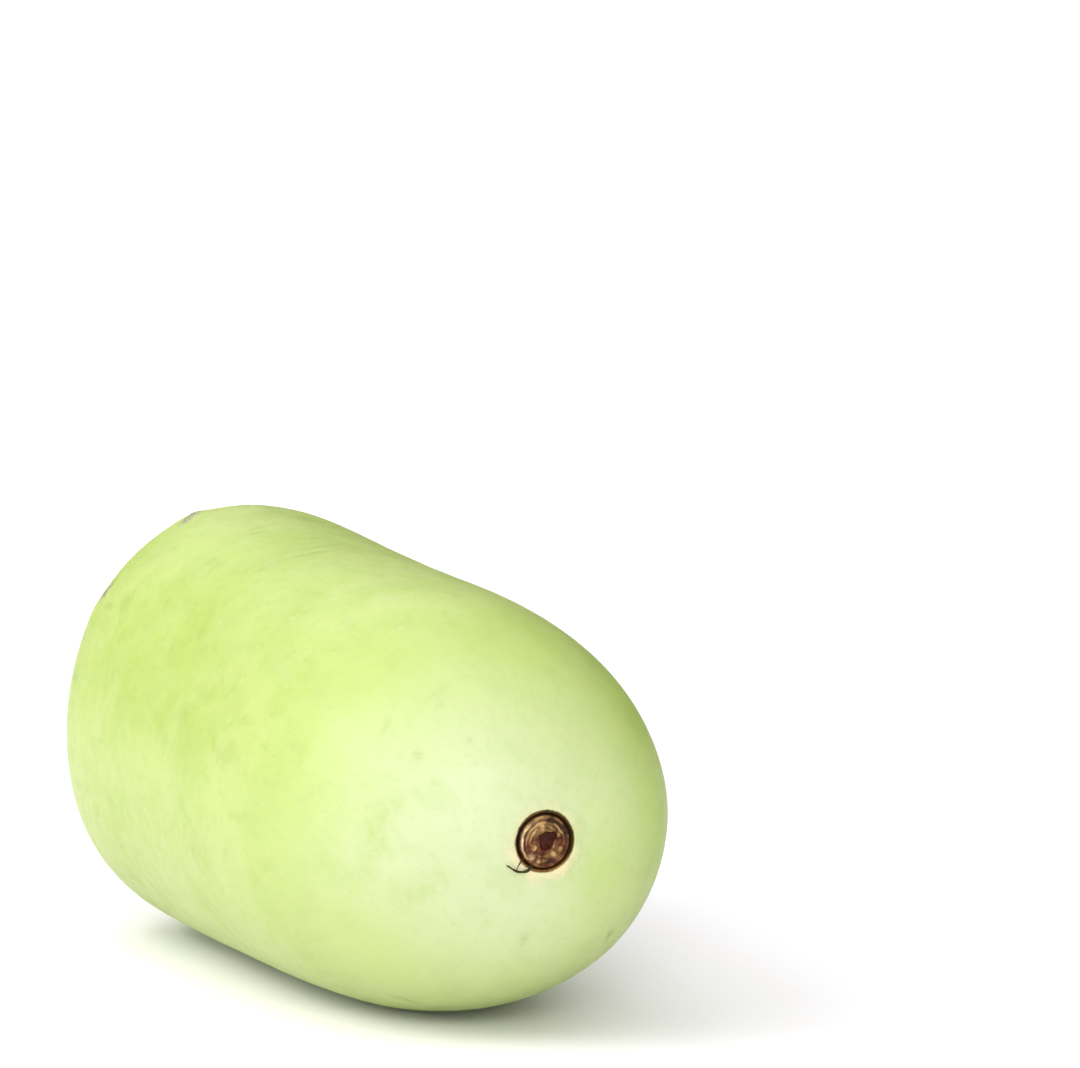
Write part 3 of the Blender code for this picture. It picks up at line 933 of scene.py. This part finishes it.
def make_scar(material):
    """The dried blossom scar: a disc of broken ridges, knobs and cracks round a pit."""
    angle = turns(SCAR_AROUND)[None, :]
    share = np.linspace(1, 0.004, SCAR_RINGS)[:, None]
    round_edge = polar(np.full((1, SCAR_AROUND), 0.005), angle, np.zeros((1, SCAR_AROUND)))
    torn = SCAR_TORN * field(round_edge, 0.0016, 2)
    radii = SCAR_RADIUS * share * (1 + (SCAR_LOBES * np.cos(3 * angle + 1) + torn) * share**2)
    flat = polar(radii, angle, np.zeros((SCAR_RINGS, SCAR_AROUND)))
    x, y = flat[..., 0], flat[..., 1]
    across = radii + 0.00038 * field(flat, 0.0026, 3) + 0.00014 * field(flat, 0.0009, 4)
    height = np.zeros(across.shape)
    crest = np.zeros(across.shape)
    for number, (radius, half_width, rise, middle, spread) in enumerate(SCAR_RIDGES):
        broken = np.clip(1.5 * field(flat, 0.0021, 20 + number) + 0.75, 0.1, 1)
        ridge = bell((across - radius) / half_width) * broken * (0.28 + 0.72 * arc(angle, middle, spread))
        height += rise * ridge
        crest = np.maximum(crest, ridge)
    for at_x, at_y, radius, rise in SCAR_KNOBS:
        knob = bell(np.hypot(x - at_x, y - at_y) / radius + 0.30 * field(flat, 0.0009, 30))
        height += rise * knob
        crest = np.maximum(crest, 0.9 * knob)
    for degrees, inner, outer, half_width in SCAR_CRACKS:
        bent = math.radians(degrees) + 40 * (radii - inner) * field(flat, 0.003, 31)
        aside = radii * np.sin(angle - bent)
        along = smooth_step((radii - inner) / 0.0006) * smooth_step((outer - radii) / 0.0008)
        crack = bell(aside / half_width) * along * (np.cos(angle - bent) > 0)
        height -= CRACK_DEPTH * crack
        crest *= 1 - 0.8 * crack
    height += 0.00010 * field(flat, 0.0010, 5) + 0.00005 * field(flat, 0.0004, 6)
    c, s = math.cos(PIT_TURN), math.sin(PIT_TURN)
    pit_x = ((x - PIT_AT[0]) * c + (y - PIT_AT[1]) * s) / PIT_REACH[0]
    pit_y = ((y - PIT_AT[1]) * c - (x - PIT_AT[0]) * s) / PIT_REACH[1]
    pit_away = np.hypot(pit_x, pit_y) + 0.45 * field(flat, 0.0014, 8)
    pit = 1 - smooth_step((pit_away - 0.70) / 0.50)
    height -= PIT_DEPTH * pit
    height -= SCAR_EDGE_DROP * np.clip((radii - SCAR_RADIUS + SCAR_EDGE) / SCAR_EDGE, 0, 1)**2
    # Painted light and shade on the scar: the crest tone is raised towards the top, partly the scar's tan
    # colour and partly a painted sheen, lowered on the upper right as painted shade and raised on the lower
    # right
    upper = smooth_step((y + 0.0004) / 0.0024)
    inside = smooth_step((SCAR_RADIUS - radii) / 0.0004)
    shade = 0.30 * arc(angle, 32, 44) - 0.12 * arc(angle, -45, 40)
    crest = crest + 0.09 + 0.22 * upper - shade + 0.40 * field(flat, 0.0012, 9)
    crest = np.clip(crest, 0, 1) * (1 - 0.9 * pit) * inside
    red = np.clip(1.2 * bell(pit_away / 2.2) + 0.9 * field(flat, 0.0030, 10) - 0.10 - 0.35 * upper, 0, 1)
    red = np.maximum(red, 0.8 * arc(angle, -80, 60) * smooth_step((radii - 0.0044) / 0.0008))
    # Painted highlight: a pale line along the first ridge on the left and a pale spot on the first knob
    pale = 0.85 * bell((across - SCAR_RIDGES[0][0]) / HIGHLIGHT_RIDGE_WIDTH) * arc(angle, 166, 32)
    knob_x, knob_y = SCAR_KNOBS[0][:2]
    knob_highlight = bell(np.hypot(x - knob_x, y - knob_y) / HIGHLIGHT_KNOB_RADIUS)
    pale = np.maximum(pale, 0.75 * knob_highlight)
    top = polar(radii, angle, SCAR_LEVEL + height)
    wall = np.stack([polar(radii[:1], angle, np.full((1, SCAR_AROUND), z))[0] for z in SCAR_WALL])
    rings = np.concatenate([wall, top]) + np.array([*SCAR_AT, 0])
    rings = to_frame(on_blossom_end(rings))
    none = np.zeros((2, SCAR_AROUND))
    tones = {
        "crest": np.concatenate([none, crest]),
        "pit": np.concatenate([none + 1, pit]),
        "red": np.concatenate([none, red]),
        # painted highlight
        "pale": np.concatenate([none, pale]),
    }
    return closed_mesh("blossom_scar_cork", rings, material, "blossom_scar", tones)


def smooth_line(points, steps):
    """Points on a smooth curve through others."""
    points = np.asarray(points, float)
    padded = np.concatenate([points[:1], points, points[-1:]])
    line = []
    for a, b, c, d in zip(padded, padded[1:], padded[2:], padded[3:]):
        for t in np.arange(steps) / steps:
            line.append(b + 0.5 * t * (c - a + t * (2 * a - 5 * b + 4 * c - d + t * (3 * (b - c) + d - a))))
    line.append(points[-1])
    return np.array(line)


def tube_rings(line, radii, sides):
    """Rings of a thin tube along a line."""
    ahead = np.gradient(line, axis=0)
    ahead /= np.linalg.norm(ahead, axis=1, keepdims=True)
    side = np.cross(ahead, [0.0, 0.0, 1.0])
    side /= np.maximum(np.linalg.norm(side, axis=1, keepdims=True), 1e-9)
    up = np.cross(side, ahead)
    angle = turns(sides)
    ring = np.cos(angle)[None, :, None] * side[:, None, :] + np.sin(angle)[None, :, None] * up[:, None, :]
    return line[:, None, :] + np.asarray(radii)[:, None, None] * ring


def make_strands(material):
    """The dried strands that hang from the scar's edge over the skin."""
    for number, (points, thickness) in enumerate(STRANDS):
        line = smooth_line(np.array(points) * MM, STRAND_STEPS)
        line[:, 2] += RECESS_DEPTH
        share = np.linspace(0, 1, len(line))
        radii = thickness * MM * (1 - 0.72 * share**1.5) * (1 + 0.16 * np.sin(23 * share + number))
        rings = tube_rings(line, radii, STRAND_SIDES)
        rings = to_frame(on_blossom_end(rings))
        closed_mesh(f"dried_strand_{number + 1}", rings, material, None, {})


def stub_radius(height, angle):
    """The stub's radius, as in its solid, with uneven ribs, knobs at their ends and fine lines."""
    rib_sizes = 1 + 0.18 * np.cos(angle * 2 + 0.8) + 0.10 * np.cos(angle + 2.0)
    fade = np.clip(1 - height / STUB_FLARE_HEIGHT, 0, 1.1)**STUB_FLARE_POWER
    rib = rib_crest(angle)
    flare = (STUB_FOOT_RADIUS - STUB_NECK_RADIUS) * fade * (1 - STUB_RIB_DEPTH * rib_sizes * (1 - rib))
    neck = STUB_NECK_RADIUS * (1 + STUB_CORNERS * np.cos(STUB_RIBS * angle))
    widening = (STUB_CUT_RADIUS - STUB_NECK_RADIUS) * np.clip(height / STUB_HEIGHT, 0, 1.1)**3
    knob_height, knob_width, knob_size = STUB_KNOB
    knob = knob_size * rib**3 * bell((height - knob_height) / knob_width)
    waves = np.cos(STUB_LINES * angle + 2 * np.sin(3 * angle))
    lines = STUB_LINE_HEIGHT * waves * smooth_step(height / 0.004 + 0.3)
    furrow = STUB_FURROW_DEPTH * (1 - rib) * smooth_step((STUB_HEIGHT - height) / 0.006)
    return neck + flare + widening + knob + lines - furrow


def rib_crest(angle):
    """1 on the stub's ribs and 0 between them."""
    return (0.5 + 0.5 * np.cos(STUB_RIBS * angle + 0.22 * np.sin(2 * angle)))**1.25


def cut_height(x, y):
    """The height of the cut: a nearly square face, and the second facet at its side."""
    face = STUB_HEIGHT - y * math.tan(STUB_CUT_TILT)
    across = x * math.cos(STUB_FACET_TURN) + y * math.sin(STUB_FACET_TURN)
    facet = STUB_HEIGHT - (across - STUB_FACET_AT) * math.tan(STUB_FACET_TILT)
    return face, facet


def make_stub(material):
    """The stalk's stub: its ribbed side, a rounded rim and the dry cut face."""
    angle = turns(STUB_AROUND)
    rim_height = np.full(STUB_AROUND, STUB_HEIGHT)
    for _ in range(12):
        radius = stub_radius(rim_height, angle)
        level = np.minimum(*cut_height(radius * np.cos(angle), radius * np.sin(angle)))
        rim_height = 0.5 * rim_height + 0.5 * level
    share = np.linspace(0, 1, STUB_WALL_RINGS)[:, None]**1.15
    height = STUB_SUNK + (rim_height - CUT_ROUNDING - STUB_SUNK) * share
    radii = stub_radius(height, angle[None, :])
    wall = polar(radii, angle[None, :], height)
    rough = 0.00014 * field(wall, 0.0022, 12) + 0.00006 * field(wall, 0.0008, 13)
    wall = wall + rough[..., None] * normals_of(wall)

    inward = np.linspace(0.975, 0.004, STUB_CUT_RINGS)[:, None]
    edge = np.hypot(wall[-1, :, 0], wall[-1, :, 1])[None, :]
    face = polar(edge * inward, angle[None, :], np.zeros((STUB_CUT_RINGS, STUB_AROUND)))
    square, facet = cut_height(face[..., 0], face[..., 1])
    on_facet = smooth_step((square - facet) / 0.0006 + 0.5)
    bent = inward + 0.05 * field(face, 0.005, 14) + 0.02 * field(face, 0.0015, 19)
    ring_gap = np.cos(2 * math.pi * bent * 4.5)
    uneven = 1.5 * np.sin(2 * angle[None, :]) + 0.9 * np.sin(3 * angle[None, :] + 1)
    bundle_angle = BUNDLES * angle[None, :] + uneven
    sizes = np.clip(0.55 + 1.1 * field(face, 0.005, 16), 0, 1)
    dots = smooth_step((np.cos(bundle_angle) - 0.30) / 0.5) * bell((bent - BUNDLE_RING) / 0.075) * sizes
    pith = bell(bent / 0.42)
    level = np.minimum(square, facet) + 0.00004 * ring_gap * (1 - on_facet)
    level = level + 0.00020 * field(face, 0.0021, 15) + 0.00009 * field(face, 0.0008, 17)
    level = level - 0.00025 * dots - 0.00030 * pith + 0.00028 * smooth_step((inward - 0.82) / 0.08)
    face[..., 2] = level
    rings = np.concatenate([wall, face])

    none = np.zeros((STUB_CUT_RINGS, STUB_AROUND))
    wall_none = np.zeros((STUB_WALL_RINGS, STUB_AROUND))
    rib = rib_crest(angle[None, :])
    low = smooth_step((0.0070 - height) / 0.0055)
    rim_of_wall = smooth_step((share - 0.91) / 0.08) + wall_none
    tones = {
        "cut": np.concatenate([smooth_step((share - 0.975) / 0.02) + wall_none, none + 1]),
        "rim": np.concatenate([rim_of_wall, smooth_step((bent - 0.83) / 0.12)]),
        "bundle": np.concatenate([wall_none, 0.42 * dots * (1 - on_facet)]),
        "pith": np.concatenate([wall_none, np.clip(pith + 0.30 * ring_gap, 0, 1)]),
        "facet": np.concatenate([wall_none, on_facet]),
        "bump": np.concatenate([rib**3 * bell((height - 0.0010) / 0.0017), none]),
        "furrow": np.concatenate([0.8 * (1 - rib)**2 * low, none]),
    }
    rings = to_frame(on_stem_end(rings))
    return closed_mesh("cut_stalk", rings, material, "stem_stub", tones)


def make_hairs(material):
    """Fine whitish hairs in tufts that lie outwards over the skin round the stalk's foot."""
    draw = np.random.default_rng(HAIR_SEED)
    tuft_angle = draw.uniform(0, 2 * math.pi, 6 * TUFTS)
    kept = draw.uniform(0, 1, 6 * TUFTS) < 0.18 + 0.82 * (0.5 + 0.5 * np.cos(STUB_RIBS * tuft_angle))
    tuft_angle = tuft_angle[kept][:TUFTS]
    tuft_start = TUFT_FROM + TUFT_BAND * draw.beta(1.2, 1.9, len(tuft_angle))
    tuft_length = draw.uniform(*TUFT_LENGTH, len(tuft_angle))
    tuft_lift = draw.uniform(*TUFT_LIFT, len(tuft_angle))
    tuft_sway = draw.normal(0, 0.5, len(tuft_angle))
    tuft = draw.integers(0, len(tuft_angle), HAIRS)
    angle = tuft_angle[tuft] + draw.normal(0, 0.055, HAIRS)
    start = tuft_start[tuft] + draw.normal(0, 0.0006, HAIRS)
    length = tuft_length[tuft] * draw.uniform(0.7, 1.25, HAIRS)
    lift = tuft_lift[tuft] * draw.uniform(0.7, 1.3, HAIRS)
    sway = tuft_sway[tuft] + draw.normal(0, 0.18, HAIRS)
    thickness = draw.uniform(*HAIR_THICKNESS, HAIRS)
    profile_x = STEM_CAP * (1 - np.cos(np.linspace(0.04, 1.2, 800)))
    profile_r = mean_radius(profile_x)
    steps = np.linspace(0, 1, HAIR_STEPS)
    points = []
    faces = []
    for number in range(HAIRS):
        reach = start[number] + length[number] * steps
        direction = angle[number] + sway[number] * (length[number] / 0.02) * steps**1.5
        x = np.interp(reach, profile_r, profile_x)
        root = smooth_skin(x, direction)
        above = length[number] * lift[number] * np.sin(math.pi * 0.62 * steps) - 0.0001 * (1 - steps)
        line = root + above[:, None] * np.array([-1.0, 0, 0])
        radii = thickness[number] * (1 - 0.85 * steps)
        rings = tube_rings(line, radii, HAIR_SIDES)
        base = len(points)
        points.extend(to_frame(rings).reshape(-1, 3).tolist())
        for i in range(HAIR_STEPS - 1):
            for j in range(HAIR_SIDES):
                k = (j + 1) % HAIR_SIDES
                a, b = base + i * HAIR_SIDES, base + (i + 1) * HAIR_SIDES
                faces.append((a + j, a + k, b + k, b + j))
        faces.append(tuple(base + j for j in reversed(range(HAIR_SIDES))))
        faces.append(tuple(base + (HAIR_STEPS - 1) * HAIR_SIDES + j for j in range(HAIR_SIDES)))
    mesh = bpy.data.meshes.new("stalk_hairs")
    mesh.from_pydata(points, [], faces)
    mesh.shade_smooth()
    mesh.materials.append(material)
    hairs = add_object("stalk_hairs", mesh)
    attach(hairs, BODY)
    return hairs


def camera_axes():
    """The camera's right, up and back directions."""
    right = Vector((math.cos(CAMERA_AZIMUTH), math.sin(CAMERA_AZIMUTH), 0))
    level = Vector((math.sin(CAMERA_AZIMUTH), -math.cos(CAMERA_AZIMUTH), 0))
    back = level * math.cos(CAMERA_PITCH) + Vector((0, 0, math.sin(CAMERA_PITCH)))
    return right, back.cross(right), back


def make_camera():
    """The photograph's view, a little from above, with the fruit at the lower left."""
    right, up, back = camera_axes()
    aside = (MIDDLE_PIXEL[0] - PHOTO_WIDTH / 2) / FOCAL_PIXELS * CAMERA_DISTANCE
    below = (MIDDLE_PIXEL[1] - PHOTO_HEIGHT / 2) / FOCAL_PIXELS * CAMERA_DISTANCE
    data = bpy.data.cameras.new("camera")
    data.sensor_width = SENSOR_WIDTH
    data.lens = FOCAL_PIXELS / PHOTO_WIDTH * SENSOR_WIDTH
    data.clip_start = 0.01
    data.clip_end = 50
    camera = add_object("camera", data)
    camera.location = Vector(ORIGIN) - right * aside + up * below + back * CAMERA_DISTANCE
    camera.rotation_euler = back.to_track_quat("Z", "Y").to_euler()
    bpy.context.scene.camera = camera


def add_light(name, place, size, power):
    """A square soft box that points at the fruit. Its place is given along the camera's axes."""
    right, up, back = camera_axes()
    data = bpy.data.lights.new(name, "AREA")
    data.size = size
    data.energy = power
    light = add_object(name, data)
    light.location = Vector(ORIGIN) + right * place[0] + Vector((0, 0, place[1])) + back * place[2]
    aim = light.location - Vector(ORIGIN)
    light.rotation_euler = aim.to_track_quat("Z", "Y").to_euler()


def make_world():
    """A white room: plain white to the camera, and a light that comes mostly from above."""
    world = bpy.data.worlds.new("white_room")
    world.use_nodes = True
    tree = world.node_tree
    background = tree.nodes["Background"]
    background.inputs["Color"].default_value = (1, 1, 1, 1)
    direction = tree.nodes.new("ShaderNodeTexCoord").outputs["Generated"]
    parts = tree.nodes.new("ShaderNodeSeparateXYZ")
    tree.links.new(direction, parts.inputs[0])
    sky = tree.nodes.new("ShaderNodeMapRange")
    sky.interpolation_type = "SMOOTHSTEP"
    sky.inputs["From Min"].default_value = SKY_FROM
    sky.inputs["From Max"].default_value = SKY_FULL
    sky.inputs["To Max"].default_value = SKY_LIGHT
    tree.links.new(parts.outputs["Z"], sky.inputs["Value"])
    seen = tree.nodes.new("ShaderNodeLightPath").outputs["Is Camera Ray"]
    strength = tree.nodes.new("ShaderNodeMapRange")
    strength.inputs["To Max"].default_value = ROOM_SEEN
    tree.links.new(sky.outputs[0], strength.inputs["To Min"])
    tree.links.new(seen, strength.inputs["Value"])
    tree.links.new(strength.outputs[0], background.inputs["Strength"])
    bpy.context.scene.world = world


def make_floor():
    """A white floor that turns into plain light far from the fruit, so no horizon shows."""
    s = Shade("white_floor")
    away = s.vector("DISTANCE", s.place, (0, 0, 0))
    far = s.step(away, *FAR_FLOOR)
    s.set(Base_Color=FLOOR_WHITE, Roughness=0.8, Specular_IOR_Level=0.1)
    glow = s.node("ShaderNodeEmission")
    glow.inputs["Strength"].default_value = FAR_FLOOR_LIGHT
    blend = s.node("ShaderNodeMixShader")
    s.feed(blend.inputs[0], far)
    s.tree.links.new(s.shader.outputs[0], blend.inputs[1])
    s.tree.links.new(glow.outputs[0], blend.inputs[2])
    s.tree.links.new(blend.outputs[0], s.tree.nodes["Material Output"].inputs["Surface"])
    mesh = bpy.data.meshes.new("floor")
    half = FLOOR_HALF_WIDTH
    corners = [(-half, -half, 0), (half, -half, 0), (half, half, 0), (-half, half, 0)]
    mesh.from_pydata(corners, [], [(0, 1, 2, 3)])
    mesh.materials.append(s.material)
    floor = add_object("floor", mesh)


make_skin(skin_material(), groove_material())
make_scar(cork_material())
make_strands(strand_material())
make_stub(stalk_material())
make_hairs(hair_material())
make_world()
make_floor()
make_camera()
for light in LIGHTS:
    add_light(*light)
bpy.context.scene.view_settings.view_transform = "Standard"
bpy.context.scene.view_settings.look = "None"
